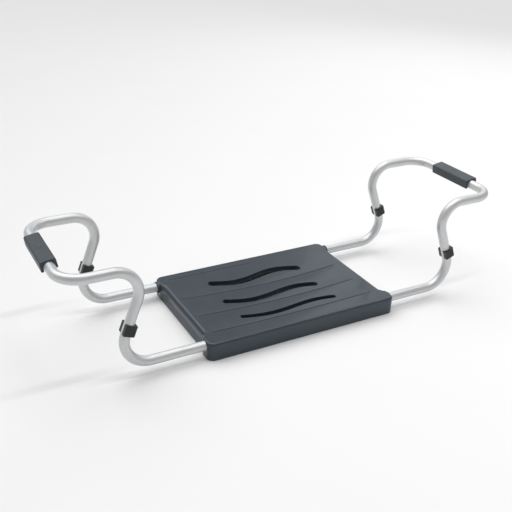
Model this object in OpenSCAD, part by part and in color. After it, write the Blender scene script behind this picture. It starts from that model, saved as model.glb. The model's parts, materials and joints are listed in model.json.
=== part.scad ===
// Width-adjustable bath seat that hangs from the rims of a bath.
// A moulded seat slides on two bent tube frames, and each frame hooks over one rim.
// X runs across the bath, Y from the front of the seat to the back, Z is up.
// The origin is on the seat's lower rim, midway between the two frames.

/* [Seat] */
// Width of the seat between its side walls
seat_w = 405; // [395:1:410]
// Depth of the seat from front to back
seat_d = 282; // [280:1:288]
// Height of the seat from its lower rim to its top
seat_h = 36; // [36:0.5:38]
// Thickness of the seat's top plate
plate_t = 2; // [2:0.25:2.5]
// Thickness of the seat's skirt
skirt_t = 3; // [2.5:0.25:3.5]
// Radius of the seat's corners seen from above
corner_r = 14; // [10:1:18]
// How far the front rail and the rear collars stand out past the side walls
collar_out = 5.5; // [4:0.5:7]
// How far the seat stands to the right of the middle between the frames
seat_x = 2.5; // [-5:0.5:5]

/* [Drain slots] */
// Half of the length of a slot
slot_half_l = 106; // [90:2:106]
// Width of the rear slot
rear_slot_w = 20; // [14:1:20]
// Width of the front slot
front_slot_w = 11.5; // [8:0.5:12]

/* [Tube frames] */
// Outer diameter of the tube
tube_d = 19; // [18.6:0.1:19]
// Wall thickness of the tube
tube_wall = 1.5; // [1:0.25:2]
// Distance between the front and rear legs of a frame
leg_gap = 240; // [238:1:242]
// Distance from the middle of the seat to a leg's inner end
leg_inner_x = 100; // [95:1:105]
// Distance from the middle of the seat to the corner of the lower bend
leg_outer_x = 378; // [370:1:390]
// Rise from the legs to the arms
upright_rise = 187; // [180:1:200]
// How far an upright leans in over its whole rise
upright_lean = 71; // [65:1:75]
// Length of an arm, from corner to corner
arm_l = 148.5; // [146:0.5:160]
// Bend radius at the foot of an upright
lower_bend_r = 48; // [44:1:50]
// Bend radius at the top of an upright
upper_bend_r = 43; // [40:1:46]
// Bend radius where an arm meets the cross tube
corner_bend_r = 44; // [32:1:46]

/* [Grips and clips] */
// Length of a hand grip
grip_l = 111; // [90:1:120]
// How far a grip is turned about its tube, in degrees
grip_turn = 10; // [0:1:12]
// Length of a wall clip along its upright
clip_l = 20.5; // [18:0.5:24]
// Distance from the lower corner of the frame to the middle of a clip
clip_up = 81; // [81:1:95]

/* [Hidden] */
$fn = 64;

// Colours
seat_colour = [0.36, 0.38, 0.41];
grip_colour = [0.22, 0.24, 0.26];
clip_colour = [0.20, 0.21, 0.21];
tube_colour = [0.72, 0.73, 0.74];
knob_colour = [0.12, 0.12, 0.13];
steel_colour = [0.62, 0.62, 0.60];
brass_colour = [0.78, 0.62, 0.32];

// Clearances
eps = 1;              // how far a cutter runs past the face it cuts
run_gap = 0.1;        // radial gap of a running fit
part_gap = 0.3;       // gap between curved faces that don't guide each other
leg_top_gap = 0.3;    // gap between a leg and the top plate
lap = 0.5;            // how far a rib or a boss runs into the plate or wall it stands on

// Seat, its ribs and the legs in it
tube_r = tube_d / 2;
tube_in_r = tube_r - tube_wall;
guide_r = tube_r + run_gap;
plate_z = seat_h - plate_t;
leg_y = leg_gap / 2;
leg_z = plate_z - leg_top_gap - tube_r;
collar_drop = 0.1;    // how far a collar's top lies under the seat's top
collar_r = seat_h - collar_drop - leg_z;
collar_l = 28;
rail_d = 37;
notch_in = 0.4;       // how much a notch under the front legs is narrower than a bore, on each side
skirt_y = seat_d / 2 - skirt_t;
rib_t = 3;
rib_z = 6;
guide_reach = 20;     // distance from a leg's inner end to the rib that guides it
guide_rib_x = leg_inner_x + guide_reach;
stop_rib_gap = 4;     // gap from a leg to the middle of the rib beside it
stop_rib_y = leg_y - tube_r - stop_rib_gap;

// Drain slots, from the rear one to the front one. Each follows a wave laid over a slanting line.
slot_count = 3;
slot_x = [-7.5, -11.5, -5.5];     // middle of a slot's length, from the middle of the seat
slot_y = [59.5, -20.5, -82.8];
slot_node_x = [-4, -2.5, 4.5];    // where the wave crosses its slanting line
slot_wave = [12, 13.8, 10];
slot_wave_l = [210, 249, 260];
slot_slant = [0.095, 0.148, 0.106];
slot_steps = 20;
slot_end_steps = 10;
lip_t = 2;
lip_h = 9;

// Frame angles and bend tangents
lean_angle = atan2(upright_lean, upright_rise);
bend_angle = 90 + lean_angle;
lower_tangent = lower_bend_r * tan(bend_angle / 2);
upper_tangent = upper_bend_r * tan(bend_angle / 2);
upright_l = norm([upright_lean, upright_rise]);
top_x = leg_outer_x - upright_lean;
top_z = leg_z + upright_rise;
cross_x = top_x + arm_l;
bend_lap = 0.2;       // how far a straight length laps into a bend
bend_draw = 0.05;     // how much a bend draws in

// Saddle clamps, knobs and their screws
saddle_x = 150;
saddle_l = 24;
saddle_t = 2;
saddle_in_r = tube_r + part_gap;
saddle_out_r = saddle_in_r + saddle_t;
saddle_pad = 9;       // how far a saddle runs on past its knob
tongue_l = 17;        // reach of a saddle's tongue from its leg's axis
tongue_y = leg_y + tongue_l;
tongue_in = 5.5;      // how far the tongue goes into its seat
tongue_side = 2;      // how much longer the tongue's seat is than the saddle, at each end
tongue_seat_l = saddle_l + 2 * tongue_side;
tongue_slot_l = saddle_l + 2 * part_gap;
tongue_below = 6.5;   // depth of the tongue's seat below the leg's axis
knob_reach = 24;      // distance from a leg's axis to its knob's
knob_y = leg_y - knob_reach;
boss_gap = 0.5;       // distance from a leg's axis up to the boss of its insert
boss_r = 8;
boss_z = leg_z + boss_gap;
insert_r = 4.5;
insert_h = 8;
thread_r = 3;
thread_gap = 0.05;
stud_r = thread_r - thread_gap;
stud_bottom_z = 6;
stud_end_gap = 1;
stud_top_z = boss_z + insert_h - stud_end_gap;
knob_bottom_z = 2.5;
knob_head_h = 9.5;
knob_hub_r = 5.5;
knob_core_r = 9;
knob_lobe_r = 3;
knob_lobe_in = 0.5;   // how far a lobe's axis lies inside the knob's rim
knob_lobes = 5;
knob_top_gap = 0.2;

// Grip and clip sections
grip_top_z = tube_r + 3;
grip_side_h = 19;
grip_top_half_w = 14.1;
grip_foot_half_w = 14.5;
grip_round = 3.5;
dimple_l = 16;
dimple_r = 3.5;
dimple_h = 0.8;
clip_mouth_x = -9;
clip_back_x = 13;
clip_half_w = 12.3;
clip_back_cut = 3;
clip_tip_cut = 0.8;

// ---------- shapes that repeat ----------

module rounded_plate(w, d, r) {
    union() {
        square([w - 2 * r, d], center = true);
        square([w, d - 2 * r], center = true);
        for (sx = [-1, 1], sy = [-1, 1])
            translate([sx * (w / 2 - r), sy * (d / 2 - r)]) circle(r = r);
    }
}

// Cylinder along X, from x0 to x1
module rod_x(x0, x1, y, z, r) {
    translate([x0, y, z]) rotate([0, 90, 0]) cylinder(h = x1 - x0, r = r);
}

// Half of the width of slot i, from the rear slot to the front slot
function slot_half(i) = (rear_slot_w + (front_slot_w - rear_slot_w) * i / (slot_count - 1)) / 2;

// Centre line of slot i at x
function slot_mid(i, x) =
    let (u = x - slot_node_x[i])
        slot_y[i] + slot_wave[i] * sin(360 * u / slot_wave_l[i]) - slot_slant[i] * u;

// Points of the round end of slot i: side is -1 for its left end or 1 for its right end
function slot_end(i, side, grow, reach) = [
    for (k = [1 : slot_end_steps - 1])
        let (a = 90 - 180 * k / slot_end_steps, r = slot_half(i) + grow, x = slot_x[i] + side * reach)
            [x + side * r * cos(a), slot_mid(i, x) + side * r * sin(a)]
];

// Outline of slot i, made wider all round by grow
module slot_outline(i, grow) {
    reach = slot_half_l - slot_half(i);
    half = slot_half(i) + grow;
    steps = [for (k = [0 : slot_steps]) reach * (2 * k / slot_steps - 1)];
    upper = [for (u = steps) [slot_x[i] + u, slot_mid(i, slot_x[i] + u) + half]];
    lower = [for (u = steps) [slot_x[i] - u, slot_mid(i, slot_x[i] - u) - half]];
    polygon(concat(upper, slot_end(i, 1, grow, reach), lower, slot_end(i, -1, grow, reach)));
}

// Places a fitting that belongs to one leg: side is -1 left or 1 right, row is -1 front or 1 rear
module at_leg(side, row) {
    scale_x = side < 0 ? [1, 0, 0] : [0, 0, 0];
    scale_y = row < 0 ? [0, 1, 0] : [0, 0, 0];
    mirror(scale_x) mirror(scale_y) children();
}

// Places a fitting that is fixed under the seat beside one leg
module under_seat(side, row) {
    translate([seat_x, 0, 0]) at_leg(side, row) children();
}

// ---------- seat ----------

module seat_outside() {
    linear_extrude(seat_h) {
        rounded_plate(seat_w, seat_d, corner_r);
        translate([0, (rail_d - seat_d) / 2]) rounded_plate(seat_w + 2 * collar_out, rail_d, corner_r);
    }
}

module seat_inside() {
    translate([0, 0, -eps]) linear_extrude(plate_z + eps) {
        rounded_plate(seat_w - 2 * skirt_t, seat_d - 2 * skirt_t, corner_r - skirt_t);
        translate([0, (rail_d - seat_d) / 2])
            rounded_plate(seat_w + 2 * (collar_out - skirt_t), rail_d - 2 * skirt_t, corner_r - skirt_t);
    }
}

// Rib between two points of the underside, of full rib height
module rib(x0, x1, y0, y1) {
    translate([x0, y0, rib_z]) cube([x1 - x0, y1 - y0, plate_z + lap - rib_z]);
}

module seat_ribs() {
    for (side = [-1, 1]) {
        rib(side * guide_rib_x - rib_t / 2, side * guide_rib_x + rib_t / 2, -skirt_y - lap, skirt_y + lap);
        rib(-guide_rib_x, guide_rib_x, side * stop_rib_y - rib_t / 2, side * stop_rib_y + rib_t / 2);
    }
    for (gap = [0, 1]) {
        mid_y = (slot_y[gap] + slot_y[gap + 1]) / 2;
        rib(-guide_rib_x, guide_rib_x, mid_y - rib_t / 2, mid_y + rib_t / 2);
    }
    for (row = [-1, 1]) {
        near = row < 0 ? -skirt_y - lap : stop_rib_y;
        rib(-rib_t / 2, rib_t / 2, near, near + skirt_y + lap - stop_rib_y);
    }
}

// Collar that guides one leg, and the seats for its saddle and its insert
module leg_fittings(side, row) {
    at_leg(side, row) {
        rod_x(seat_w / 2 + collar_out - collar_l, seat_w / 2 + collar_out, leg_y, leg_z, collar_r);
        translate([saddle_x, knob_y, boss_z]) cylinder(h = plate_z + lap - boss_z, r = boss_r);
        translate([saddle_x - tongue_seat_l / 2, tongue_y - tongue_in, leg_z - tongue_below])
            cube([tongue_seat_l, skirt_y + lap - tongue_y + tongue_in, plate_z + lap - leg_z + tongue_below]);
    }
}

// What is cut for one leg: its bore, the insert's hole and the slot for the saddle's tongue
module leg_cuts(side, row) {
    at_leg(side, row) {
        rod_x(leg_inner_x, seat_w / 2 + collar_out + eps, leg_y, leg_z, guide_r);
        translate([saddle_x, knob_y, boss_z - eps]) cylinder(h = insert_h + eps, r = insert_r);
        translate([saddle_x - tongue_slot_l / 2, tongue_y - tongue_in - eps, leg_z - saddle_t - part_gap])
            cube([tongue_slot_l, tongue_in + eps + part_gap, saddle_t + 2 * part_gap]);
    }
}

// Notch under a front leg, which opens the end of the front rail downward
module rail_notch(side) {
    near_y = seat_d / 2 - rail_d - eps;
    at_leg(side, -1) translate([seat_w / 2, near_y, -eps])
        cube([collar_out + eps, leg_y + guide_r - notch_in - near_y, leg_z]);
}

module seat_shell() {
    color(seat_colour) translate([seat_x, 0, 0]) difference() {
        union() {
            difference() {
                seat_outside();
                seat_inside();
            }
            seat_ribs();
            for (side = [-1, 1], row = [-1, 1]) leg_fittings(side, row);
            for (i = [0 : slot_count - 1])
                translate([0, 0, plate_z - lip_h]) linear_extrude(lip_h + lap) slot_outline(i, lip_t);
        }
        for (i = [0 : slot_count - 1])
            translate([0, 0, -eps]) linear_extrude(seat_h + 2 * eps) slot_outline(i, 0);
        for (side = [-1, 1], row = [-1, 1]) leg_cuts(side, row);
        for (side = [-1, 1]) rail_notch(side);
    }
}

// ---------- tube frames ----------

// Straight rod along Z from 0 to l, which laps a little into the bend at each end
module rod(l, r) {
    translate([0, 0, -bend_lap]) cylinder(h = l + 2 * bend_lap, r = r);
}

// Solid bend about the Z axis, from angle start through angle sweep.
// A tube draws in a little where it is bent, so a bend is a hair thinner than the straight tube.
module rod_bend(bend_r, start, sweep, r) {
    rotate([0, 0, start]) rotate_extrude(angle = sweep) translate([bend_r, 0]) circle(r = r - bend_draw);
}

// Leg, upright, arm and corner at the rear of the right frame, as solid rods of radius r.
// The leg's inner end is drawn out by extra.
module half_path(r, extra) {
    lower_x = leg_outer_x - lower_tangent;
    arm_x = top_x + upper_tangent;
    translate([leg_inner_x + bend_lap - extra, leg_y, leg_z]) rotate([0, 90, 0])
        rod(lower_x - leg_inner_x - bend_lap + extra, r);
    translate([lower_x, leg_y, leg_z + lower_bend_r]) rotate([90, 0, 0])
        rod_bend(lower_bend_r, -90, bend_angle, r);
    translate([leg_outer_x, leg_y, leg_z]) rotate([0, -lean_angle, 0]) translate([0, 0, lower_tangent])
        rod(upright_l - lower_tangent - upper_tangent, r);
    translate([arm_x, leg_y, top_z - upper_bend_r]) rotate([90, 0, 0])
        rod_bend(upper_bend_r, 90, bend_angle, r);
    translate([arm_x, leg_y, top_z]) rotate([0, 90, 0]) rod(cross_x - corner_bend_r - arm_x, r);
    translate([cross_x - corner_bend_r, leg_y - corner_bend_r, top_z]) rod_bend(corner_bend_r, 0, 90, r);
}

// The whole path of the right frame: two legs and the cross tube that joins them
module frame_path(r, extra) {
    half_path(r, extra);
    mirror([0, 1, 0]) half_path(r, extra);
    translate([cross_x, corner_bend_r - leg_y, top_z]) rotate([-90, 0, 0])
        rod(2 * (leg_y - corner_bend_r), r);
}

module tube_frame(side) {
    color(tube_colour) at_leg(side, 1) difference() {
        frame_path(tube_r, 0);
        frame_path(tube_in_r, eps);
    }
}

// ---------- grips ----------

module grip_section() {
    foot_z = grip_top_z - grip_side_h;
    difference() {
        union() {
            polygon([
                [-grip_foot_half_w, foot_z],
                [grip_foot_half_w, foot_z],
                [grip_top_half_w, grip_top_z - grip_round],
                [grip_top_half_w - grip_round, grip_top_z],
                [-grip_top_half_w + grip_round, grip_top_z],
                [-grip_top_half_w, grip_top_z - grip_round]
            ]);
            for (side = [-1, 1])
                translate([side * (grip_top_half_w - grip_round), grip_top_z - grip_round])
                    circle(r = grip_round);
        }
        circle(r = tube_r);
        translate([-tube_r, foot_z - eps]) square([tube_d, eps - foot_z]);
    }
}

module grip(side) {
    color(grip_colour) translate([side * cross_x, 0, top_z]) rotate([0, -grip_turn, 0]) difference() {
        translate([0, grip_l / 2, 0]) rotate([90, 0, 0]) linear_extrude(grip_l) grip_section();
        translate([0, 0, grip_top_z - dimple_h]) linear_extrude(dimple_h + eps) {
            square([2 * dimple_r, dimple_l - 2 * dimple_r], center = true);
            for (end = [-1, 1]) translate([0, end * (dimple_l / 2 - dimple_r)]) circle(r = dimple_r);
        }
    }
}

// ---------- wall clips ----------

module clip_section() {
    difference() {
        polygon([
            [clip_mouth_x, -clip_half_w + clip_tip_cut],
            [clip_mouth_x + clip_tip_cut, -clip_half_w],
            [clip_back_x - clip_back_cut, -clip_half_w],
            [clip_back_x, -clip_half_w + clip_back_cut],
            [clip_back_x, clip_half_w - clip_back_cut],
            [clip_back_x - clip_back_cut, clip_half_w],
            [clip_mouth_x + clip_tip_cut, clip_half_w],
            [clip_mouth_x, clip_half_w - clip_tip_cut]
        ]);
        circle(r = guide_r);
    }
}

module clip(side, row) {
    color(clip_colour) translate([side * leg_outer_x, row * leg_y, leg_z]) rotate([0, -side * lean_angle, 0])
        translate([0, 0, clip_up - clip_l / 2]) linear_extrude(clip_l) clip_section();
}

// ---------- fittings under the seat ----------

// Plastic end plug: its flange stops the leg at the guide rib when the frame is pulled out
module end_plug(side, row) {
    flange_r = tube_r + 1.5;
    flange_t = 3;
    spigot_l = 12;
    color(knob_colour) at_leg(side, row) {
        rod_x(leg_inner_x, leg_inner_x + spigot_l, leg_y, leg_z, tube_in_r);
        intersection() {
            rod_x(leg_inner_x - flange_t, leg_inner_x, leg_y, leg_z, flange_r);
            translate([leg_inner_x - flange_t - eps, leg_y - flange_r - eps, leg_z - flange_r - eps])
                cube([flange_t + 2 * eps, 2 * (flange_r + eps), flange_r + eps + plate_z - part_gap - leg_z]);
        }
    }
}

// Section of a saddle about its leg's axis, Y to the right and Z up
module saddle_section() {
    difference() {
        union() {
            circle(r = saddle_out_r);
            translate([0, -saddle_t]) square([tongue_l, saddle_t]);
            translate([-knob_reach - saddle_pad, -saddle_t]) square([knob_reach + saddle_pad, saddle_t]);
        }
        circle(r = saddle_in_r);
        translate([-saddle_out_r - eps, 0]) square([2 * (saddle_out_r + eps), saddle_out_r + eps]);
    }
}

module saddle(side, row) {
    color(steel_colour) under_seat(side, row) difference() {
        translate([saddle_x - saddle_l / 2, leg_y, leg_z]) rotate([90, 0, 90])
            linear_extrude(saddle_l) saddle_section();
        translate([saddle_x, knob_y, leg_z - saddle_t - eps])
            cylinder(h = saddle_t + 2 * eps, r = thread_r + part_gap);
    }
}

module knob(side, row) {
    color(knob_colour) under_seat(side, row) translate([saddle_x, knob_y, 0]) difference() {
        union() {
            translate([0, 0, knob_bottom_z]) cylinder(h = knob_head_h, r = knob_core_r);
            for (k = [0 : knob_lobes - 1]) rotate([0, 0, 360 * k / knob_lobes])
                translate([knob_core_r - knob_lobe_in, 0, knob_bottom_z])
                    cylinder(h = knob_head_h, r = knob_lobe_r);
            translate([0, 0, knob_bottom_z])
                cylinder(h = leg_z - saddle_t - knob_top_gap - knob_bottom_z, r = knob_hub_r);
        }
        translate([0, 0, stud_bottom_z]) cylinder(h = leg_z - stud_bottom_z, r = stud_r);
    }
}

module stud(side, row) {
    color(steel_colour) under_seat(side, row) translate([saddle_x, knob_y, stud_bottom_z])
        cylinder(h = stud_top_z - stud_bottom_z, r = stud_r);
}

module insert(side, row) {
    color(brass_colour) under_seat(side, row) translate([saddle_x, knob_y, boss_z]) difference() {
        cylinder(h = insert_h, r = insert_r);
        translate([0, 0, -eps]) cylinder(h = insert_h + 2 * eps, r = thread_r);
    }
}

seat_shell();
tube_frame(-1);  // frame_left_tube
tube_frame(1);  // frame_right_tube
grip(-1);  // grip_left
grip(1);  // grip_right
clip(-1, -1);  // clip_left_front
clip(-1, 1);  // clip_left_rear
clip(1, -1);  // clip_right_front
clip(1, 1);  // clip_right_rear
end_plug(-1, -1);  // plug_left_front
end_plug(-1, 1);  // plug_left_rear
end_plug(1, -1);  // plug_right_front
end_plug(1, 1);  // plug_right_rear
saddle(-1, -1);  // saddle_left_front
saddle(-1, 1);  // saddle_left_rear
saddle(1, -1);  // saddle_right_front
saddle(1, 1);  // saddle_right_rear
knob(-1, -1);  // knob_left_front
knob(-1, 1);  // knob_left_rear
knob(1, -1);  // knob_right_front
knob(1, 1);  // knob_right_rear
stud(-1, -1);  // stud_left_front
stud(-1, 1);  // stud_left_rear
stud(1, -1);  // stud_right_front
stud(1, 1);  // stud_right_rear
insert(-1, -1);  // insert_left_front
insert(-1, 1);  // insert_left_rear
insert(1, -1);  // insert_right_front
insert(1, 1);  // insert_right_rear
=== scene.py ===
"""Looks of the bath seat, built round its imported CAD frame.

The seat, the tubes, the grips and the wall clips get detailed meshes that stand for their CAD nodes.
The fittings under the seat stay as CAD nodes, with bevelled edges and better materials.
Lengths in this file are in millimetres, and mm() turns them into metres.
"""

import json
import math

import bmesh
import bpy
import numpy as np
from mathutils import Matrix, Vector
from mathutils.geometry import delaunay_2d_cdt


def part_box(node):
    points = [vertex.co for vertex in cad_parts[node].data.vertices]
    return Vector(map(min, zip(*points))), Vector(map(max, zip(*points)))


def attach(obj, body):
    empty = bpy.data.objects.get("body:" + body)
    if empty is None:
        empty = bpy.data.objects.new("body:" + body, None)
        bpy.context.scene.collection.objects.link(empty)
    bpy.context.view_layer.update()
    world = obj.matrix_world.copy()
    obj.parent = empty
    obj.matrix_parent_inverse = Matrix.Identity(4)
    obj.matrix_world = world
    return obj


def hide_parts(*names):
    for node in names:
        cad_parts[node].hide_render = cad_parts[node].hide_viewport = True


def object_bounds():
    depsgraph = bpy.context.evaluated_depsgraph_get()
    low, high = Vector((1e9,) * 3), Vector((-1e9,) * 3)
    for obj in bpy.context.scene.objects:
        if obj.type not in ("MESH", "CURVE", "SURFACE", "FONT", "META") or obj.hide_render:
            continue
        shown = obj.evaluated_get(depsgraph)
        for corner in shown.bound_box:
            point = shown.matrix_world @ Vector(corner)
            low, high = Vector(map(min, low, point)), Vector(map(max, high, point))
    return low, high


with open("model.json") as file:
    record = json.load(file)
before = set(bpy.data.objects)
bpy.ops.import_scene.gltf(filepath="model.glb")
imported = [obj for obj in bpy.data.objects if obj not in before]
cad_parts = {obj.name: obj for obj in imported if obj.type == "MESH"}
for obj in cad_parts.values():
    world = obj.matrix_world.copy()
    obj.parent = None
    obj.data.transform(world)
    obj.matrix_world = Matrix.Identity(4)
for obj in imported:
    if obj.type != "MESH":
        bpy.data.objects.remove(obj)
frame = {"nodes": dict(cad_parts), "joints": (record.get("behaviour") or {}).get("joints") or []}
cad_low, cad_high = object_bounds()


def mm(value):
    return value * 0.001


def cad_mm(node):
    """Lowest and highest corners of a CAD node, in millimetres."""
    low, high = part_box(node)
    return np.array(low) * 1000, np.array(high) * 1000


# ---------- sizes, read from the frame ----------

SIDES = {"left": -1, "right": 1}
ROWS = {"front": -1, "rear": 1}

seat_low, seat_high = cad_mm("seat_shell")
tube_low, tube_high = cad_mm("frame_right_tube")
saddle_low, saddle_high = cad_mm("saddle_right_rear")
insert_low, insert_high = cad_mm("insert_right_rear")
grip_low, grip_high = cad_mm("grip_right")

TUBE_R = 9.5
TUBE_WALL = 1.5
GUIDE_R = 9.6                  # bores that a tube passes through
SEAT_TOP = seat_high[2]
SEAT_FRONT = seat_low[1]
SEAT_REAR = seat_high[1]
SEAT_X = (seat_low[0] + seat_high[0]) / 2
RAIL_X = seat_high[0] - SEAT_X # half width of the front rail and the rear collars
WALL_X = RAIL_X - 5.5          # half width of the seat at the feet of its side walls
LEG_Y = tube_high[1] - TUBE_R
LEG_Z = tube_low[2] + TUBE_R
ARM_Z = tube_high[2] - TUBE_R
CROSS_X = tube_high[0] - TUBE_R
LEG_IN_X = tube_low[0]
LEG_OUT_X = 378                # corner of the lower bend
LEAN_X = 71                    # how far an upright leans in over its rise
LOWER_R = 48
UPPER_R = 43
CORNER_R = 44
PLATE_Z = SEAT_TOP - 2         # underside of the top plate
SKIRT_T = 3
RAIL_REAR_Y = SEAT_FRONT + 34  # where the front rail ends and the side walls begin
RIB_T = 3
RIB_Z = 6                      # lower edges of the ribs
GUIDE_RIB_X = LEG_IN_X + 20    # ribs that guide the legs
STOP_RIB_Y = LEG_Y - TUBE_R - 4  # ribs beside the legs
LAP_Y = 0.5                    # how far ribs run into the walls
LAP_Z = 0.6                    # how far ribs and bosses run into the top plate
FIT_X = (insert_low[0] + insert_high[0]) / 2 - SEAT_X
FIT_Y = (insert_low[1] + insert_high[1]) / 2

# drain slots, from the rear one to the front one, each a wave laid over a slanting line
SLOT_HALF_L = 106
SLOT_W = (20, 15.75, 11.5)
SLOT_X = (-7.5, -11.5, -5.5)   # middle of a slot's length, from the middle of the seat
SLOT_Y = (59.5, -20.5, -82.8)
SLOT_NODE_X = (-4, -2.5, 4.5)  # where the wave crosses its slanting line
SLOT_WAVE = (12, 13.8, 10)     # how far the wave swings to each side
SLOT_WAVE_L = (210, 249, 260)  # length of a whole wave
SLOT_SLANT = (0.095, 0.148, 0.106)
SLOT_EDGE_R = 1.0
SLOT_LIP_T = 2                 # thickness of the lip that hangs round a slot
SLOT_LIP_Z = PLATE_Z - 9

# grooves in the top: each runs across the seat at y = middle + rise * (x / reach)^2
GROOVE_REACH = 187
GROOVES = ((117, 2, 40), (20, 15, 187), (-48, 10, 187), (-105, 4, 187))
GROOVE_DEPTH = 1.25
GROOVE_FADE_IN = 5
GROOVE_FADE_OUT = 30
# a groove's section: distance from its middle, and share of the full depth
GROOVE_ROWS = ((-1.7, 0), (-1.0, 0.1), (-0.4, 0.75), (0, 1), (0.4, 0.75), (1.0, 0.1), (1.7, 0))

# ---------- camera ----------

CAMERA_MM = (-697.3, -1183.7, 802.9)
CAMERA_YAW = 29.12             # degrees to the right of +Y
CAMERA_PITCH = -26.85
CAMERA_ROLL = 2.01
CAMERA_LENS = 53.74
CAMERA_SENSOR = 36


def make_camera():
    """Camera with its sensor along the image's width, pointed by yaw, pitch and roll."""
    data = bpy.data.cameras.new("camera")
    data.sensor_width = CAMERA_SENSOR
    data.lens = CAMERA_LENS
    camera = bpy.data.objects.new("camera", data)
    bpy.context.scene.collection.objects.link(camera)
    turn = Matrix.Rotation(math.radians(-CAMERA_YAW), 4, "Z")
    tilt = Matrix.Rotation(math.radians(90 + CAMERA_PITCH), 4, "X")
    roll = Matrix.Rotation(math.radians(CAMERA_ROLL), 4, "Z")
    place = Matrix.Translation(Vector(CAMERA_MM) * 0.001)
    camera.matrix_world = place @ turn @ tilt @ roll
    bpy.context.scene.camera = camera


# ---------- materials ----------

class Nodes:
    """Short way to build a material's node tree."""

    def __init__(self, name):
        self.material = bpy.data.materials.new(name)
        self.material.use_nodes = True
        self.tree = self.material.node_tree
        self.shader = self.tree.nodes["Principled BSDF"]

    def add(self, kind, **inputs):
        node = self.tree.nodes.new(kind)
        for key, value in inputs.items():
            self.put(node, key, value)
        return node

    def put(self, node, key, value):
        socket = node.inputs[int(key[1:])] if key[0] == "i" and key[1:].isdigit() else node.inputs[key]
        if isinstance(value, bpy.types.NodeSocket):
            self.tree.links.new(value, socket)
        else:
            socket.default_value = value

    def coords(self, scale=(1, 1, 1), attribute=None):
        if attribute:
            source = self.add("ShaderNodeAttribute")
            source.attribute_name = attribute
            vector = source.outputs["Vector"]
        else:
            vector = self.add("ShaderNodeTexCoord").outputs["Object"]
        return self.add("ShaderNodeMapping", Vector=vector, Scale=scale).outputs[0]

    def noise(self, vector, scale, detail=3.0, rough=0.5):
        return self.add(
            "ShaderNodeTexNoise", Vector=vector, Scale=scale, Detail=detail, Roughness=rough
        ).outputs[0]

    def spread(self, value, low, high, to_low, to_high):
        node = self.add("ShaderNodeMapRange", Value=value)
        for key, number in (("From Min", low), ("From Max", high), ("To Min", to_low), ("To Max", to_high)):
            node.inputs[key].default_value = number
        return node.outputs[0]

    def mix(self, factor, a, b):
        node = self.tree.nodes.new("ShaderNodeMix")
        node.data_type = "RGBA"
        self.put(node, "i0", factor)
        for index, value in ((6, a), (7, b)):
            if isinstance(value, bpy.types.NodeSocket):
                self.tree.links.new(value, node.inputs[index])
            else:
                node.inputs[index].default_value = (*value, 1)
        return node.outputs[2]

    def math(self, kind, a, b):
        node = self.tree.nodes.new("ShaderNodeMath")
        node.operation = kind
        self.put(node, "i0", a)
        self.put(node, "i1", b)
        return node.outputs[0]

    def bump(self, height, strength, distance, normal=None):
        node = self.add("ShaderNodeBump", Height=height, Strength=strength, Distance=distance)
        if normal is not None:
            self.tree.links.new(normal, node.inputs["Normal"])
        return node.outputs[0]

    def finish(self, **inputs):
        for key, value in inputs.items():
            name = key.replace("_", " ")
            if isinstance(value, tuple):
                value = (*value, 1)
            self.put(self.shader, name, value)
        return self.material


def moulded_plastic(name, dark, light, grain, rough, wear, coat=0.0):
    """Satin moulded plastic: a fine grain of (scale, depth), faint flow marks and rubbed edges."""
    n = Nodes(name)
    place = n.coords()
    broad = n.noise(place, 7.0, 4.0, 0.55)
    flow = n.noise(n.coords((9, 2.2, 9)), 3.2, 5.0, 0.6)
    colour = n.mix(n.spread(broad, 0.3, 0.7, 0, 1), dark, light)
    colour = n.mix(n.spread(flow, 0.45, 0.75, 0, 0.22), colour, tuple(1.25 * c for c in light))
    edge = n.add("ShaderNodeNewGeometry").outputs["Pointiness"]
    rubbed = n.math("MULTIPLY", n.spread(edge, 0.52, 0.60, 0, wear), n.spread(flow, 0.3, 0.7, 0.5, 1.0))
    colour = n.mix(rubbed, colour, tuple(min(1, 2.1 * c + 0.01) for c in light))
    gloss = n.spread(n.noise(place, 38.0, 4.0, 0.6), 0.3, 0.7, *rough)
    normal = n.bump(n.noise(place, grain[0], 2.0, 0.6), 0.35, grain[1])
    normal = n.bump(broad, 0.25, 0.0012, normal)
    n.shader.inputs["Coat Weight"].default_value = coat
    n.shader.inputs["Coat Roughness"].default_value = 0.1
    return n.finish(Base_Color=colour, Roughness=gloss, Normal=normal, IOR=1.42)


def satin_tube(name):
    """Silver satin finish: fine draw lines along the tube, faint mottling and light handling marks."""
    n = Nodes(name)
    lines = n.noise(n.coords((1, 1, 0.012), "tube_place"), 2600.0, 3.0, 0.65)
    mottle = n.noise(n.coords((1, 1, 0.35), "tube_place"), 55.0, 4.0, 0.6)
    marks = n.noise(n.coords((1, 1, 2.0), "tube_place"), 210.0, 5.0, 0.7)
    colour = n.mix(n.spread(mottle, 0.3, 0.7, 0, 1), (0.60, 0.61, 0.62), (0.68, 0.685, 0.69))
    colour = n.mix(n.spread(marks, 0.60, 0.78, 0, 0.35), colour, (0.46, 0.465, 0.47))
    rough = n.math("ADD", n.spread(mottle, 0.3, 0.7, 0.38, 0.46), n.spread(lines, 0.3, 0.7, -0.03, 0.05))
    normal = n.bump(lines, 0.22, 0.00004)
    normal = n.bump(mottle, 0.12, 0.0004, normal)
    return n.finish(Base_Color=colour, Metallic=0.6, Roughness=rough, Normal=normal)


def worked_metal(name, base, rough):
    """Plated or turned metal with brushed streaks and dull patches."""
    n = Nodes(name)
    streaks = n.noise(n.coords((1, 14, 1)), 260.0, 4.0, 0.65)
    patches = n.noise(n.coords(), 90.0, 4.0, 0.6)
    colour = n.mix(n.spread(patches, 0.35, 0.7, 0, 0.5), base, tuple(0.6 * c for c in base))
    gloss = n.math("ADD", n.spread(patches, 0.3, 0.7, *rough), n.spread(streaks, 0, 1, -0.04, 0.04))
    normal = n.bump(streaks, 0.2, 0.00005)
    return n.finish(Base_Color=colour, Metallic=1.0, Roughness=gloss, Normal=normal)


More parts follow.
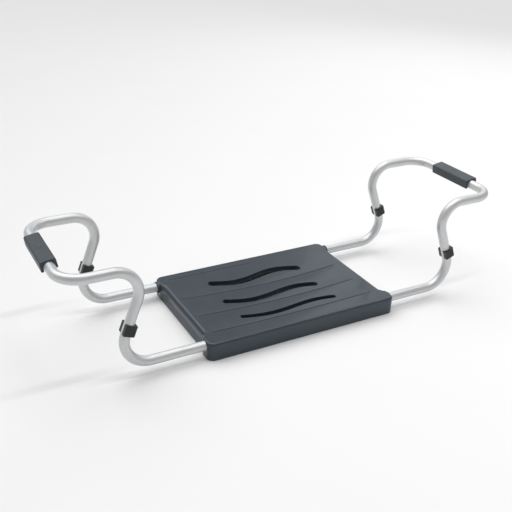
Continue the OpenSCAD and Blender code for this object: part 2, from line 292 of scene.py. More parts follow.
def pale_floor(name):
    """Plain matt floor, almost white."""
    n = Nodes(name)
    grain = n.noise(n.coords(), 4.0, 2.0)
    colour = n.mix(grain, (0.86, 0.86, 0.86), (0.88, 0.88, 0.88))
    return n.finish(Base_Color=colour, Roughness=0.9)


# ---------- mesh building ----------

class Shell:
    """Vertices and faces of one piece, in millimetres."""

    def __init__(self):
        self.verts = []
        self.faces = []

    def ring(self, points):
        start = len(self.verts)
        self.verts.extend(tuple(float(c) for c in p) for p in points)
        return list(range(start, len(self.verts)))

    def bridge(self, a, b):
        count = len(a)
        for i in range(count):
            j = (i + 1) % count
            self.faces.append((a[i], a[j], b[j], b[i]))

    def loft(self, rings):
        for a, b in zip(rings, rings[1:]):
            self.bridge(a, b)

    def fill(self, outer, holes=(), flat=lambda p: (p[0], p[1]), extra=(), rows=(), lift=None):
        """Triangles between the outer ring and the holes, through extra points joined along rows."""
        loops = [outer, *holes]
        index = [i for loop in loops for i in loop]
        points = [flat(self.verts[i]) for i in index]
        edges = []
        start = 0
        for loop in loops:
            edges += [(start + i, start + (i + 1) % len(loop)) for i in range(len(loop))]
            start += len(loop)
        for point in extra:
            index.append(len(self.verts))
            self.verts.append(lift(point))
            points.append(tuple(point[:2]))
        edges += [(start + a, start + b) for a, b in rows]
        made = delaunay_2d_cdt([Vector(p) for p in points], edges, [], 0, 1e-6, True)
        coords = np.array([tuple(v) for v in made[0]])
        back = [index[ids[0]] if ids else None for ids in made[3]]
        triangles = np.array(made[2])
        middle = coords[triangles].mean(1)
        polygon = lambda loop: np.array([flat(self.verts[i]) for i in loop])
        keep = inside(middle, polygon(outer))
        for hole in holes:
            keep &= ~inside(middle, polygon(hole))
        self.faces.extend(tuple(back[i] for i in t) for t in triangles[keep])

    def add_bmesh(self, bm):
        start = len(self.verts)
        self.verts.extend(tuple(v.co) for v in bm.verts)
        bm.verts.index_update()
        self.faces.extend(tuple(start + v.index for v in f.verts) for f in bm.faces)
        bm.free()


def inside(points, polygon):
    """Which points lie inside a closed polygon."""
    a = polygon
    b = np.roll(polygon, -1, 0)
    px, py = points[:, :1], points[:, 1:]
    crosses = (a[:, 1] > py) != (b[:, 1] > py)
    rise = np.where(b[:, 1] == a[:, 1], 1, b[:, 1] - a[:, 1])
    at = a[:, 0] + (py - a[:, 1]) * (b[:, 0] - a[:, 0]) / rise
    return (crosses & (px < at)).sum(1) % 2 == 1


def smoothstep(low, high, value):
    """Rises smoothly from 0 at low to 1 at high."""
    t = np.clip((value - low) / (high - low), 0, 1)
    return t * t * (3 - 2 * t)


def rounded_outline(corners, arc_step=9.0, straight_step=9.0):
    """Anticlockwise outline through (x, y, radius) corners: its points and their outward normals."""
    points, normals = [], []
    count = len(corners)
    arcs = []
    for i in range(count):
        p = np.array(corners[i][:2], float)
        before = p - np.array(corners[i - 1][:2], float)
        after = np.array(corners[(i + 1) % count][:2], float) - p
        d1, d2 = before / np.linalg.norm(before), after / np.linalg.norm(after)
        turn = math.atan2(d1[0] * d2[1] - d1[1] * d2[0], float(d1 @ d2))
        radius = corners[i][2]
        tangent = radius * math.tan(abs(turn) / 2)
        left = np.array([-d1[1], d1[0]]) * math.copysign(1, turn)
        centre = p - d1 * tangent + left * radius
        steps = max(2, int(abs(math.degrees(turn)) / arc_step))
        arc = []
        for k in range(steps + 1):
            a = turn * k / steps
            sin, cos = math.sin(a), math.cos(a)
            out = np.array([d1[1] * cos + d1[0] * sin, d1[1] * sin - d1[0] * cos])
            arc.append((centre + out * radius * math.copysign(1, turn), out))
        arcs.append(arc)
    for i, arc in enumerate(arcs):
        points += [p for p, _ in arc]
        normals += [n for _, n in arc]
        start, end = arc[-1][0], arcs[(i + 1) % count][0][0]
        gap = np.linalg.norm(end - start)
        for k in range(1, int(gap / straight_step)):
            points.append(start + (end - start) * k / int(gap / straight_step))
            normals.append(arc[-1][1])
    keep = [i for i in range(len(points)) if np.linalg.norm(points[i] - points[i - 1]) > 1e-4]
    return np.array([points[i] for i in keep]), np.array([normals[i] for i in keep])


def outline_normals(points):
    """Outward normals of a closed anticlockwise outline."""
    along = np.roll(points, -1, 0) - np.roll(points, 1, 0)
    along /= np.linalg.norm(along, axis=1)[:, None]
    return np.stack([along[:, 1], -along[:, 0]], 1)


def add_object(name, mesh, material, sharp):
    """Puts a mesh in the scene with its material, smooth but for edges sharper than an angle."""
    mesh.polygons.foreach_set("use_smooth", [True] * len(mesh.polygons))
    mesh.set_sharp_from_angle(angle=math.radians(sharp))
    mesh.materials.append(material)
    piece = bpy.data.objects.new(name, mesh)
    bpy.context.scene.collection.objects.link(piece)
    return piece


def make_piece(name, shell, material, body, nodes, sharp, place=None):
    """A piece of the object from a shell in millimetres, which stands for CAD nodes."""
    mesh = bpy.data.meshes.new(name)
    mesh.from_pydata([tuple(mm(c) for c in v) for v in shell.verts], [], shell.faces)
    bm = bmesh.new()
    bm.from_mesh(mesh)
    bmesh.ops.remove_doubles(bm, verts=bm.verts, dist=mm(0.004))
    bmesh.ops.dissolve_degenerate(bm, edges=bm.edges, dist=mm(0.002))
    bmesh.ops.recalc_face_normals(bm, faces=bm.faces)
    bm.to_mesh(mesh)
    bm.free()
    if place is not None:
        mesh.transform(place)
    piece = add_object(name, mesh, material, sharp)
    if nodes:
        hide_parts(*nodes)
    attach(piece, body)
    return piece


# ---------- seat ----------

CORNER_ROUND = 14              # rounding of the seat's corners seen from above
RAIL_END_ROUND = 5.8
RAIL_ROOT_ROUND = 2
FLARE_START = (1, 6)           # the side wall's flare fades in this far behind the rail
FLARE_END = (98, 106)          # and fades out here, before the rear collars
NOTCH_IN = 0.4                 # how much the notches under the front legs are narrower than a bore
EDGE_R = 4.5                   # rounding of the top edge at the front and the rear
SIDE_EDGE_R = 9.5              # rounding of the top edge along the sides
BAND_Z = 16.5                  # height of the crease in a side wall
CREASE_IN = 3.2                # how far the crease lies inside the wall's foot
SIDE_TOP_IN = 1.5              # how far the wall's top lies inside the wall's foot
ARC_STEPS = 8
SLOT_ARC_STEPS = 6
SEAT_SHARP = 38                # edges sharper than this many degrees stay sharp
RIBS_SHARP = 35
COLLAR_L = 28
COLLAR_DROP = 0.1              # how far a collar's top lies under the seat's top
FRONT_COLLAR_IN = 0.4          # how far the front collars' faces lie inside the rail's ends
BOSS_R = 8
BOSS_BORE_R = 4.5
BLOCK_SIDE = 2                 # how far a tongue's block reaches past the saddle on each side
BLOCK_IN = 5.5                 # how far it reaches in over the saddle's outer end
BLOCK_FOOT = 8                 # how far it reaches below the tongue's top
TONGUE_T = 2.4                 # depth of its slot below the tongue's top
TONGUE_GAP = 0.3               # and above it
BORE_L = 30
BORE_IN = 12                   # how far the middle of a leg's bore lies inside the rail's end


def seat_outline():
    """Outline of the seat seen from above, and how much of the side wall's flare each point has."""
    front, rear = SEAT_FRONT, SEAT_REAR
    corners = [
        (-RAIL_X, front, CORNER_ROUND), (RAIL_X, front, CORNER_ROUND),
        (RAIL_X, RAIL_REAR_Y, RAIL_END_ROUND), (WALL_X, RAIL_REAR_Y, RAIL_ROOT_ROUND),
        (WALL_X, rear, CORNER_ROUND), (-WALL_X, rear, CORNER_ROUND),
        (-WALL_X, RAIL_REAR_Y, RAIL_ROOT_ROUND), (-RAIL_X, RAIL_REAR_Y, RAIL_END_ROUND),
    ]
    points, normals = rounded_outline(corners, 7.5, 7.0)
    on_wall = np.abs(np.abs(points[:, 0]) - WALL_X) < 1
    y = points[:, 1]
    flare = on_wall * smoothstep(RAIL_REAR_Y + FLARE_START[0], RAIL_REAR_Y + FLARE_START[1], y)
    flare = flare * (1 - smoothstep(*FLARE_END, y))
    return points, normals, flare


def slot_ring(i, grow):
    """Outline of slot i seen from above, made wider all round by grow."""
    half = SLOT_W[i] / 2
    reach = SLOT_HALF_L - half

    def at(x, y):
        """Lays a point of the straight slot along its wave."""
        u = SLOT_X[i] + np.clip(x, -reach, reach) - SLOT_NODE_X[i]
        middle = SLOT_Y[i] + SLOT_WAVE[i] * np.sin(2 * math.pi * u / SLOT_WAVE_L[i]) - SLOT_SLANT[i] * u
        return np.stack([SLOT_X[i] + x, middle + y], 1)

    x = np.linspace(-reach, reach, 60)
    a = np.linspace(-90, 90, 15)[1:-1] * math.pi / 180
    lower = at(x, -half)
    right = at(reach + half * np.cos(a), half * np.sin(a))
    upper = at(-x, half)
    left = at(-reach - half * np.cos(a), -half * np.sin(a))
    points = np.concatenate([lower, right, upper, left])
    return points + outline_normals(points) * grow


def groove_points():
    """Points of the grooves in the top, and the pairs of them that are joined along each groove."""
    points, rows = [], []
    for middle, rise, end_x in GROOVES:
        xs = np.linspace(-GROOVE_REACH, end_x, 100)
        slope = 2 * rise * xs / GROOVE_REACH ** 2
        length = np.sqrt(1 + slope ** 2)
        fade = smoothstep(-GROOVE_REACH, GROOVE_FADE_IN - GROOVE_REACH, xs)
        fade = fade * (1 - smoothstep(end_x - GROOVE_FADE_OUT, end_x, xs))
        for offset, depth in GROOVE_ROWS:
            start = len(points)
            y = middle + rise * (xs / GROOVE_REACH) ** 2
            for k in range(len(xs)):
                points.append((
                    xs[k] - slope[k] / length[k] * offset,
                    y[k] + offset / length[k],
                    SEAT_TOP - GROOVE_DEPTH * depth * fade[k],
                ))
            rows += [(start + k, start + k + 1) for k in range(len(xs) - 1)]
    return points, rows


def seat_body():
    """Closed skin of the seat: skirt, rounded top with its grooves, and slots with their lips."""
    shell = Shell()
    points, normals, flare = seat_outline()
    edge_r = EDGE_R + (SIDE_EDGE_R - EDGE_R) * flare
    crease = CREASE_IN * flare

    def level(offset, z):
        """Ring of the outline, moved in by offset and laid at height z."""
        height = np.broadcast_to(np.asarray(z, float), (len(points),))
        inward = normals * np.broadcast_to(offset, (len(points),))[:, None]
        return shell.ring(np.column_stack([points - inward, height]))

    base = SIDE_TOP_IN * flare
    arc_z = SEAT_TOP - edge_r
    # from the eased foot up to the crease, on to the rounded edge, and in over the top
    outside = [level(1.0, 0), level(0.3, 0.3), level(0.0, 1.0), level(crease * 0.5, 0.5 * BAND_Z)]
    outside += [level(crease * 0.96, BAND_Z - 0.5), level(crease, BAND_Z), level(crease * 0.97, BAND_Z + 0.5)]
    outside += [level((crease + base) / 2, (BAND_Z + 0.5 + arc_z) / 2)]
    for k in range(ARC_STEPS + 1):
        a = math.pi / 2 * k / ARC_STEPS
        outside.append(level(base + edge_r * (1 - math.cos(a)), arc_z + edge_r * math.sin(a)))
    outside.append(level(base + edge_r + 1, SEAT_TOP))
    # from the same foot up the inner face, and in under the top plate
    inner = [level(1.0, 0), level(SKIRT_T - 0.8, 0), level(SKIRT_T - 0.2, 0.3), level(SKIRT_T, 1.0)]
    inner += [level(SKIRT_T + crease, BAND_Z), level(SKIRT_T + 2.2 * base, PLATE_Z - 3)]
    inner += [level(SKIRT_T + 2.8 * base + 0.4, PLATE_Z - 1), level(SKIRT_T + 3.2 * base + 1.4, PLATE_Z)]
    shell.loft(outside)
    shell.loft(inner)
    tops, unders = [], []
    for i in range(len(SLOT_Y)):
        # over the rounded edge, down the slot's wall, round the lip's foot and up to the plate
        rings = [(SLOT_EDGE_R + 0.8, SEAT_TOP)]
        for k in range(SLOT_ARC_STEPS + 1):
            a = math.pi / 2 * k / SLOT_ARC_STEPS
            rings.append((SLOT_EDGE_R * (1 - math.sin(a)), SEAT_TOP - SLOT_EDGE_R * (1 - math.cos(a))))
        rings += [(0, PLATE_Z - 4), (0, SLOT_LIP_Z + 0.8), (0.25, SLOT_LIP_Z + 0.2), (0.8, SLOT_LIP_Z)]
        rings += [(1.4, SLOT_LIP_Z + 0.2), (SLOT_LIP_T, SLOT_LIP_Z + 0.8), (SLOT_LIP_T, PLATE_Z - 0.8)]
        rings += [(SLOT_LIP_T + 0.8, PLATE_Z)]
        made = []
        for grow, z in rings:
            outline = slot_ring(i, grow)
            made.append(shell.ring(np.column_stack([outline, np.full(len(outline), z)])))
        shell.loft(made)
        tops.append(made[0])
        unders.append(made[-1])
    extra, rows = groove_points()
    shell.fill(outside[-1], tops, extra=extra, rows=rows, lift=lambda p: tuple(p))
    shell.fill(inner[-1], unders)
    return shell


def bevelled_box(shell, low, high, bevel=0.5):
    """Box between two corners, given in any order, with eased edges."""
    bm = bmesh.new()
    bmesh.ops.create_cube(bm, size=1)
    low, high = np.minimum(low, high), np.maximum(low, high)
    for v in bm.verts:
        v.co = Vector((np.array(v.co) + 0.5) * (high - low) + low)
    bmesh.ops.bevel(bm, geom=bm.edges[:], offset=bevel, segments=2, profile=0.5, affect="EDGES")
    shell.add_bmesh(bm)


def lathe(shell, profile, place, steps=56):
    """Turns a closed profile of (along, radius) points about the Z axis of place."""
    rings = []
    for k in range(steps):
        a = 2 * math.pi * k / steps
        ring = [place @ Vector((r * math.cos(a), r * math.sin(a), z)) for z, r in profile]
        rings.append(shell.ring(ring))
    rings.append(rings[0])
    shell.loft(rings)


def sleeve(length, outer, inner, chamfer):
    """Profile of a sleeve with eased edges."""
    return [
        (0, inner + chamfer), (0, outer - chamfer), (chamfer, outer), (length - chamfer, outer),
        (length, outer - chamfer), (length, inner + chamfer), (length - chamfer, inner), (chamfer, inner),
    ]


def pierced_rib(shell, x, thickness):
    """Rib across the seat with a bore for each leg that passes through it."""
    end_y = SEAT_REAR - SKIRT_T + LAP_Y
    top = PLATE_Z + LAP_Z
    corners = [(-end_y, RIB_Z, 1), (end_y, RIB_Z, 1), (end_y, top, 0.3), (-end_y, top, 0.3)]
    outline, _ = rounded_outline(corners, 30, 12)
    turn = np.linspace(0, 2 * math.pi, 48, endpoint=False)
    bores = [
        np.stack([side * LEG_Y + GUIDE_R * np.cos(turn), LEG_Z + GUIDE_R * np.sin(turn)], 1)
        for side in (-1, 1)
    ]
    faces = []
    for at in (x - thickness / 2, x + thickness / 2):
        rings = [shell.ring([(at, y, z) for y, z in loop]) for loop in (outline, *bores)]
        shell.fill(rings[0], rings[1:], flat=lambda p: (p[1], p[2]))
        faces.append(rings)
    for a, b in zip(*faces):
        shell.bridge(a, b)


def seat_underside():
    """Ribs, collars, saddle seats and insert bosses under the top plate."""
    shell = Shell()
    top = PLATE_Z + LAP_Z
    wall_y = SEAT_REAR - SKIRT_T + LAP_Y
    for side in (-1, 1):
        pierced_rib(shell, side * GUIDE_RIB_X, RIB_T)
        y = side * STOP_RIB_Y
        bevelled_box(shell, (-GUIDE_RIB_X, y - RIB_T / 2, RIB_Z), (GUIDE_RIB_X, y + RIB_T / 2, top))
        bevelled_box(shell, (-RIB_T / 2, side * STOP_RIB_Y, RIB_Z), (RIB_T / 2, side * wall_y, top))
    for a, b in zip(SLOT_Y, SLOT_Y[1:]):
        y = (a + b) / 2
        bevelled_box(shell, (-GUIDE_RIB_X, y - RIB_T / 2, RIB_Z), (GUIDE_RIB_X, y + RIB_T / 2, top))
    for side in (-1, 1):
        for row in (-1, 1):
            fittings_seat(shell, side, row, top, wall_y)
    return shell


def fittings_seat(shell, side, row, top, wall_y):
    """Leg collar, insert boss and the slotted block for the saddle's tongue, for one leg."""
    collar_r = SEAT_TOP - LEG_Z - COLLAR_DROP
    face_in = FRONT_COLLAR_IN if row < 0 else 0
    length = COLLAR_L - face_in
    turn = Matrix.Rotation(math.pi / 2, 4, "Y")
    start = Vector((side * (RAIL_X - face_in) - (length if side > 0 else 0), row * LEG_Y, LEG_Z))
    lathe(shell, sleeve(length, collar_r, GUIDE_R, 0.7), Matrix.Translation(start) @ turn)
    boss = sleeve(top - insert_low[2], BOSS_R, BOSS_BORE_R, 0.6)
    lathe(shell, boss, Matrix.Translation((side * FIT_X, row * FIT_Y, insert_low[2])))
    tongue_top = saddle_high[2]
    block_x = (saddle_low[0] - SEAT_X - BLOCK_SIDE, saddle_high[0] - SEAT_X + BLOCK_SIDE)
    block_y = saddle_high[1] - BLOCK_IN
    for low_z, high_z in ((tongue_top - BLOCK_FOOT, tongue_top - TONGUE_T), (tongue_top + TONGUE_GAP, top)):
        bevelled_box(
            shell,
            (side * block_x[0], row * block_y, low_z),
            (side * block_x[1], row * wall_y, high_z),
        )


def cut_leg_holes(piece):
    """Cuts the bores for the four legs, and the notches that open the rail's ends under the front ones."""
    bores, notches = bmesh.new(), bmesh.new()
    for side in (-1, 1):
        for row in (-1, 1):
            middle = (SEAT_X + side * (RAIL_X - BORE_IN), row * LEG_Y, LEG_Z)
            place = Matrix.Translation([mm(c) for c in middle]) @ Matrix.Rotation(math.pi / 2, 4, "Y")
            bmesh.ops.create_cone(
                bores, cap_ends=True, segments=64, depth=mm(BORE_L), matrix=place,
                radius1=mm(GUIDE_R), radius2=mm(GUIDE_R),
            )
        x = (SEAT_X + side * (WALL_X + 0.1), SEAT_X + side * (RAIL_X + 2))
        y = (RAIL_REAR_Y + 0.6, -LEG_Y - GUIDE_R + NOTCH_IN)
        place = Matrix.Translation((mm(sum(x) / 2), mm(sum(y) / 2), mm(LEG_Z / 2 - 1)))
        place = place @ Matrix.Diagonal((mm(abs(x[1] - x[0])), mm(abs(y[1] - y[0])), mm(LEG_Z), 1))
        bmesh.ops.create_cube(notches, size=1, matrix=place)
    cut(piece, bores)
    cut(piece, notches)


def cut(piece, bm):
    """Cuts a closed shape out of a piece."""
    mesh = bpy.data.meshes.new("cutter")
    bm.to_mesh(mesh)
    bm.free()
    cutter = bpy.data.objects.new("cutter", mesh)
    bpy.context.scene.collection.objects.link(cutter)
    modifier = piece.modifiers.new("cut", "BOOLEAN")
    modifier.operation = "DIFFERENCE"
    modifier.solver = "EXACT"
    modifier.object = cutter
    apply_modifiers(piece)
    bpy.data.objects.remove(cutter)


def apply_modifiers(piece):
    graph = bpy.context.evaluated_depsgraph_get()
    mesh = bpy.data.meshes.new_from_object(piece.evaluated_get(graph))
    piece.modifiers.clear()
    piece.data = mesh


def build_seat(material):
    """The seat's skin with its holes cut, and the ribs and fittings moulded under it."""
    place = Matrix.Translation((mm(SEAT_X), 0, 0))
    body = make_piece(
        "seat_moulding", seat_body(), material, "seat", ["seat_shell"], SEAT_SHARP, place
    )
    cut_leg_holes(body)
    body.data.set_sharp_from_angle(angle=math.radians(SEAT_SHARP))
    ribs = seat_underside()
    make_piece("seat_underside_ribs", ribs, material, "seat", [], RIBS_SHARP, place)


# ---------- tube frames ----------

BEND_STEP = 3                  # degrees between the rings of a bend
STRAIGHT_STEP = 12
STRAIGHT_END = 4               # least gap between the last ring of a leg's straight part and its bend
TUBE_SIDES = 48
TUBE_SHARP = 50


def frame_path(side):
    """Centre line of one frame: points, directions and distance along it."""
    rise = ARM_Z - LEG_Z
    lean = math.atan2(LEAN_X, rise)
    bend = math.pi / 2 + lean
    lower = LOWER_R * math.tan(bend / 2)
    upper = UPPER_R * math.tan(bend / 2)
    top_x = LEG_OUT_X - LEAN_X
    half = []

    def arc(centre, radius, start, sweep, plane):
        """Adds a bend: upright ones lie in the leg's plane, the corner in the plane of the arms."""
        steps = int(math.degrees(abs(sweep)) / BEND_STEP)
        for k in range(steps + 1):
            a = start + sweep * k / steps
            u, v = centre[0] + radius * math.cos(a), centre[1] + radius * math.sin(a)
            half.append((u, LEG_Y, v) if plane == "xz" else (u, v, ARM_Z))

    half.append((LEG_IN_X, LEG_Y, LEG_Z))
    for x in np.arange(LEG_IN_X + STRAIGHT_STEP, LEG_OUT_X - lower - STRAIGHT_END, STRAIGHT_STEP):
        half.append((x, LEG_Y, LEG_Z))
    arc((LEG_OUT_X - lower, LEG_Z + LOWER_R), LOWER_R, -math.pi / 2, bend, "xz")
    arc((top_x + upper, ARM_Z - UPPER_R), UPPER_R, math.pi + lean, -bend, "xz")
    arc((CROSS_X - CORNER_R, LEG_Y - CORNER_R), CORNER_R, math.pi / 2, -math.pi / 2, "xy")
    points = half + [(x, -y, z) for x, y, z in reversed(half)]
    points = np.array(points) * np.array([side, 1, 1])
    fine = [points[0]]
    for a, b in zip(points, points[1:]):
        count = max(1, int(np.linalg.norm(b - a) / STRAIGHT_STEP))
        fine += [a + (b - a) * k / count for k in range(1, count + 1)]
    points = np.array(fine)
    along = np.gradient(points, axis=0)
    along /= np.linalg.norm(along, axis=1)[:, None]
    distance = np.concatenate([[0], np.cumsum(np.linalg.norm(np.diff(points, axis=0), axis=1))])
    return points, along, distance


def build_tube(name, side, material):
    """Hollow bent tube, swept along the frame's path with a frame that doesn't twist."""
    points, along, distance = frame_path(side)
    up = np.array([0.0, 0.0, 1.0])
    turn = np.linspace(0, 2 * math.pi, TUBE_SIDES, endpoint=False)
    shell = Shell()
    place = []
    outer, inner = [], []
    for p, t, s in zip(points, along, distance):
        up = up - (up @ t) * t
        up /= np.linalg.norm(up)
        cross = np.cross(t, up)
        ring = np.outer(np.cos(turn), up) + np.outer(np.sin(turn), cross)
        outer.append(shell.ring(p + ring * TUBE_R))
        place += [(math.cos(a) * TUBE_R, math.sin(a) * TUBE_R, s) for a in turn]
        inner.append(shell.ring(p + ring * (TUBE_R - TUBE_WALL)))
        place += [(math.cos(a) * TUBE_R, math.sin(a) * TUBE_R, s) for a in turn]
    shell.loft(outer)
    shell.loft(inner)
    shell.bridge(outer[0], inner[0])
    shell.bridge(outer[-1], inner[-1])
    mesh = bpy.data.meshes.new(name)
    mesh.from_pydata([tuple(mm(c) for c in v) for v in shell.verts], [], shell.faces)
    layer = mesh.attributes.new("tube_place", "FLOAT_VECTOR", "POINT")
    layer.data.foreach_set("vector", np.array(place).ravel() * 0.001)
    bm = bmesh.new()
    bm.from_mesh(mesh)
    bmesh.ops.recalc_face_normals(bm, faces=bm.faces)
    bm.to_mesh(mesh)
    bm.free()
    piece = add_object(name + "_bent", mesh, material, TUBE_SHARP)
    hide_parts(name)
    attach(piece, name.replace("_tube", ""))


# ---------- extruded mouldings: grips and wall clips ----------

def extrude(shell, outline, normals, stations, shape=None):
    """Closed extrusion of an (x, y) outline along Z through (z, inset) stations."""
    rings = []
    for z, inset in stations:
        section = outline - normals * inset
        points = np.column_stack([section, np.full(len(section), z)])
        if shape is not None:
            points = shape(points)
        rings.append(shell.ring(points))
    shell.loft(rings)
    shell.fill(rings[0])
    shell.fill(rings[-1])


def rounded_stations(length, ease, step):
    """Stations of an extrusion from -length/2 to length/2 with eased ends."""
    turn = [math.pi / 2 * k / 4 for k in range(5)]
    start = [(-length / 2 + ease * (1 - math.sin(a)), ease * (1 - math.cos(a))) for a in reversed(turn)]
    start = [(z, inset) for z, inset in sorted(start)]
    count = max(2, int((length - 2 * ease) / step))
    middle = [(-length / 2 + ease + (length - 2 * ease) * k / count, 0) for k in range(1, count)]
    return start + middle + [(-z, inset) for z, inset in reversed(start)]


GRIP_TURN = 10                 # degrees that a grip is turned on its tube
GRIP_BORE = 9.56
GRIP_TOP_Z = 12.5
GRIP_FOOT_Z = -6.5
GRIP_TOP_HALF_W = 14.1
GRIP_FOOT_HALF_W = 14.5
GRIP_DOME = 0.5                # how far the top falls away towards its sides
GRIP_SHARP = 45
DIMPLE_HALF = (5, 9)
DIMPLE_DEPTH = 1.2


def build_grip(name, side, material):
    """Grip with a rounded back, open underneath, snapped on its cross tube."""
    corners = [
        (GRIP_FOOT_HALF_W, GRIP_FOOT_Z, 1.3), (GRIP_TOP_HALF_W, GRIP_TOP_Z, 3.5),
        (-GRIP_TOP_HALF_W, GRIP_TOP_Z, 3.5), (-GRIP_FOOT_HALF_W, GRIP_FOOT_Z, 1.3),
        (-GRIP_BORE, GRIP_FOOT_Z, 1.2), (-GRIP_BORE, GRIP_BORE, GRIP_BORE),
        (GRIP_BORE, GRIP_BORE, GRIP_BORE), (GRIP_BORE, GRIP_FOOT_Z, 1.2),
    ]
    outline, normals = rounded_outline(corners, 7.5, 1.4)
    length = grip_high[1] - grip_low[1]

    def shape(points):
        """Domes the top a little and sinks the oval thumb dimple in its middle."""
        x, z, along = points[:, 0], points[:, 1], points[:, 2]
        top = (z > 9) & (normals[:, 1] > 0.2)
        oval = np.sqrt((x / DIMPLE_HALF[0]) ** 2 + (along / DIMPLE_HALF[1]) ** 2)
        drop = GRIP_DOME * (x / 14) ** 2 + DIMPLE_DEPTH * (1 - smoothstep(0.62, 1.0, oval))
        moved = points.copy()
        moved[:, 1] -= np.where(top, drop, 0)
        return moved

    shell = Shell()
    extrude(shell, outline, normals, rounded_stations(length, 1.0, 1.5), shape)
    turn = Matrix.Rotation(math.radians(-GRIP_TURN), 4, "Y")
    upright = Matrix.Rotation(math.pi / 2, 4, "X")
    place = Matrix.Translation((mm(side * CROSS_X), 0, mm(ARM_Z))) @ turn @ upright
    body = "frame_" + name.split("_")[1]
    make_piece(name + "_pad", shell, material, body, [name], GRIP_SHARP, place)


# section of a wall clip, seen along its upright, which stands at 0, 0
CLIP_MOUTH_X = -9
CLIP_BACK_X = 13
CLIP_HALF_W = 12.3
CLIP_TIP_CUT = 0.8             # corner cut off each arm's tip
CLIP_BACK_CUT = 3              # corner cut off each side of the back
CLIP_LENGTH = 20.5
CLIP_SHARP = 40


def build_clip(name, material):
    """U-shaped clip on its upright, in the place and direction of its joint."""
    mouth_y = math.sqrt(GUIDE_R ** 2 - CLIP_MOUTH_X ** 2)
    gap = math.atan2(mouth_y, CLIP_MOUTH_X)
    half = [
        (CLIP_MOUTH_X, CLIP_HALF_W - CLIP_TIP_CUT), (CLIP_MOUTH_X + CLIP_TIP_CUT, CLIP_HALF_W),
        (CLIP_BACK_X - CLIP_BACK_CUT, CLIP_HALF_W), (CLIP_BACK_X, CLIP_HALF_W - CLIP_BACK_CUT),
    ]
    outside = [(x, -y) for x, y in half] + list(reversed(half))
    bore = [(GUIDE_R * math.cos(a), GUIDE_R * math.sin(a)) for a in np.linspace(gap, -gap, 44)]
    outline = densify(np.array(outside), 1.2)
    outline = np.concatenate([outline, np.array(bore)])
    normals = outline_normals(outline)
    normals[-len(bore):] = 0
    joint = next(j for j in frame["joints"] if j["child"] == name)
    axis = Vector(joint["axis"])
    across = Vector((axis.z, 0, -axis.x))
    place = Matrix.Identity(4)
    for column, vector in enumerate((across, Vector((0, 1, 0)), axis)):
        for row in range(3):
            place[row][column] = vector[row]
    place.translation = Vector(joint["pos_m"])
    shell = Shell()
    extrude(shell, outline, normals, rounded_stations(CLIP_LENGTH, 0.9, 2.0))
    make_piece(name + "_moulding", shell, material, name, [name], CLIP_SHARP, place)


def densify(points, step):
    """Adds points along the straight stretches of an open outline."""
    out = [points[0]]
    for a, b in zip(points, points[1:]):
        count = max(1, int(np.linalg.norm(b - a) / step))
        out += [a + (b - a) * k / count for k in range(1, count + 1)]
    return np.array(out)


# ---------- fittings that stay as CAD nodes ----------

def dress(node, material, bevel):
    """Gives a CAD node its material and eases its edges."""
    piece = frame["nodes"][node]
    piece.data.materials.clear()
    piece.data.materials.append(material)
    piece.modifiers.new("joined_faces", "WELD").merge_threshold = mm(0.01)
    modifier = piece.modifiers.new("eased_edges", "BEVEL")
    modifier.width = mm(bevel)
    modifier.segments = 2
    modifier.limit_method = "ANGLE"
    modifier.angle_limit = math.radians(40)
    modifier.use_clamp_overlap = True


# ---------- stage and light, in metres ----------

FLOOR_HALF = 30.0
WORLD_LIGHT = 0.38
SKY_LIGHT = 1.75
SKY_SPREAD = 60                # degrees
SKY_DIRECTION = (0.15, -0.5, -1.0)
# each area light: place, target, size and watts
BACK_LIGHT = ((2.0, 1.4, 1.75), (0, 0, 0.05), (2.0, 2.0), 11)
EDGE_LIGHT = ((0.6, -0.4, 1.9), (0.6, 0, 0.05), (1.7, 0.08), 9)


def area_light(name, place, target, size, watts):
    """Rectangular light that points from its place at its target."""
    data = bpy.data.lights.new(name, "AREA")
    data.shape = "RECTANGLE"
    data.size, data.size_y = size
    data.energy = watts
    light = bpy.data.objects.new(name, data)
    light.location = place
    light.rotation_mode = "QUATERNION"
    light.rotation_quaternion = (Vector(target) - Vector(place)).to_track_quat("-Z", "Y")
    bpy.context.scene.collection.objects.link(light)


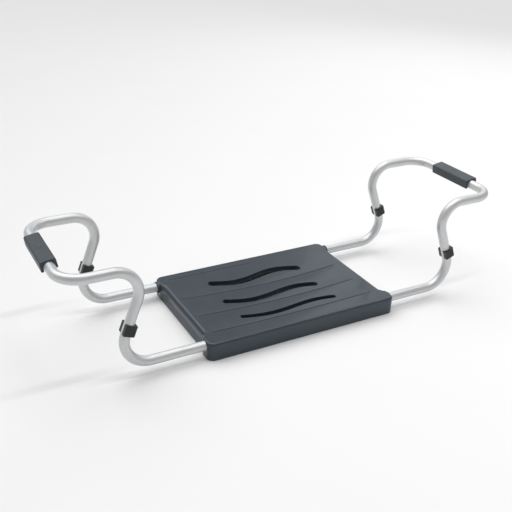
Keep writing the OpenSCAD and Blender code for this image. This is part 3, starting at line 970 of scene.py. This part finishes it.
def make_stage():
    """Pale floor, a broad sky, a soft light from behind and a long strip over the front edge."""
    mesh = bpy.data.meshes.new("floor")
    corners = [(x * FLOOR_HALF, y * FLOOR_HALF) for x, y in ((-1, -1), (1, -1), (1, 1), (-1, 1))]
    mesh.from_pydata([(x, y, cad_low[2]) for x, y in corners], [], [(0, 1, 2, 3)])
    mesh.materials.append(pale_floor("pale_floor"))
    floor = bpy.data.objects.new("floor", mesh)
    bpy.context.scene.collection.objects.link(floor)
    world = bpy.data.worlds.new("studio")
    world.use_nodes = True
    background = world.node_tree.nodes["Background"]
    background.inputs[0].default_value = (1, 1, 1, 1)
    background.inputs[1].default_value = WORLD_LIGHT
    bpy.context.scene.world = world
    sun = bpy.data.lights.new("sky", "SUN")
    sun.energy = SKY_LIGHT
    sun.angle = math.radians(SKY_SPREAD)
    sky = bpy.data.objects.new("sky", sun)
    sky.rotation_mode = "QUATERNION"
    sky.rotation_quaternion = Vector(SKY_DIRECTION).to_track_quat("-Z", "Y")
    bpy.context.scene.collection.objects.link(sky)
    area_light("back", *BACK_LIGHT)
    area_light("edge", *EDGE_LIGHT)
    bpy.context.scene.view_settings.view_transform = "Standard"


# ---------- build ----------

make_camera()
make_stage()
seat_plastic = moulded_plastic(
    "seat_plastic", dark=(0.025, 0.038, 0.051), light=(0.031, 0.046, 0.061),
    grain=(820.0, 0.00012), rough=(0.30, 0.38), wear=0.5, coat=0.2,
)
grip_plastic = moulded_plastic(
    "grip_plastic", dark=(0.041, 0.054, 0.064), light=(0.052, 0.066, 0.077),
    grain=(1100.0, 0.00014), rough=(0.40, 0.52), wear=0.4,
)
clip_plastic = moulded_plastic(
    "clip_plastic", dark=(0.012, 0.015, 0.015), light=(0.018, 0.021, 0.021),
    grain=(1100.0, 0.00012), rough=(0.42, 0.55), wear=0.4,
)
black_plastic = moulded_plastic(
    "black_plastic", dark=(0.012, 0.012, 0.013), light=(0.020, 0.020, 0.022),
    grain=(1100.0, 0.00012), rough=(0.42, 0.55), wear=0.3,
)
tube_metal = satin_tube("tube_metal")
steel = worked_metal("plated_steel", base=(0.60, 0.60, 0.57), rough=(0.28, 0.42))
brass = worked_metal("turned_brass", base=(0.66, 0.46, 0.18), rough=(0.22, 0.36))

build_seat(seat_plastic)
for side_name, side in SIDES.items():
    build_tube("frame_" + side_name + "_tube", side, tube_metal)
    build_grip("grip_" + side_name, side, grip_plastic)
    for row_name in ROWS:
        leg = side_name + "_" + row_name
        build_clip("clip_" + leg, clip_plastic)
        dress("plug_" + leg, black_plastic, 0.5)
        dress("knob_" + leg, black_plastic, 0.9)
        dress("saddle_" + leg, steel, 0.3)
        dress("stud_" + leg, steel, 0.3)
        dress("insert_" + leg, brass, 0.3)
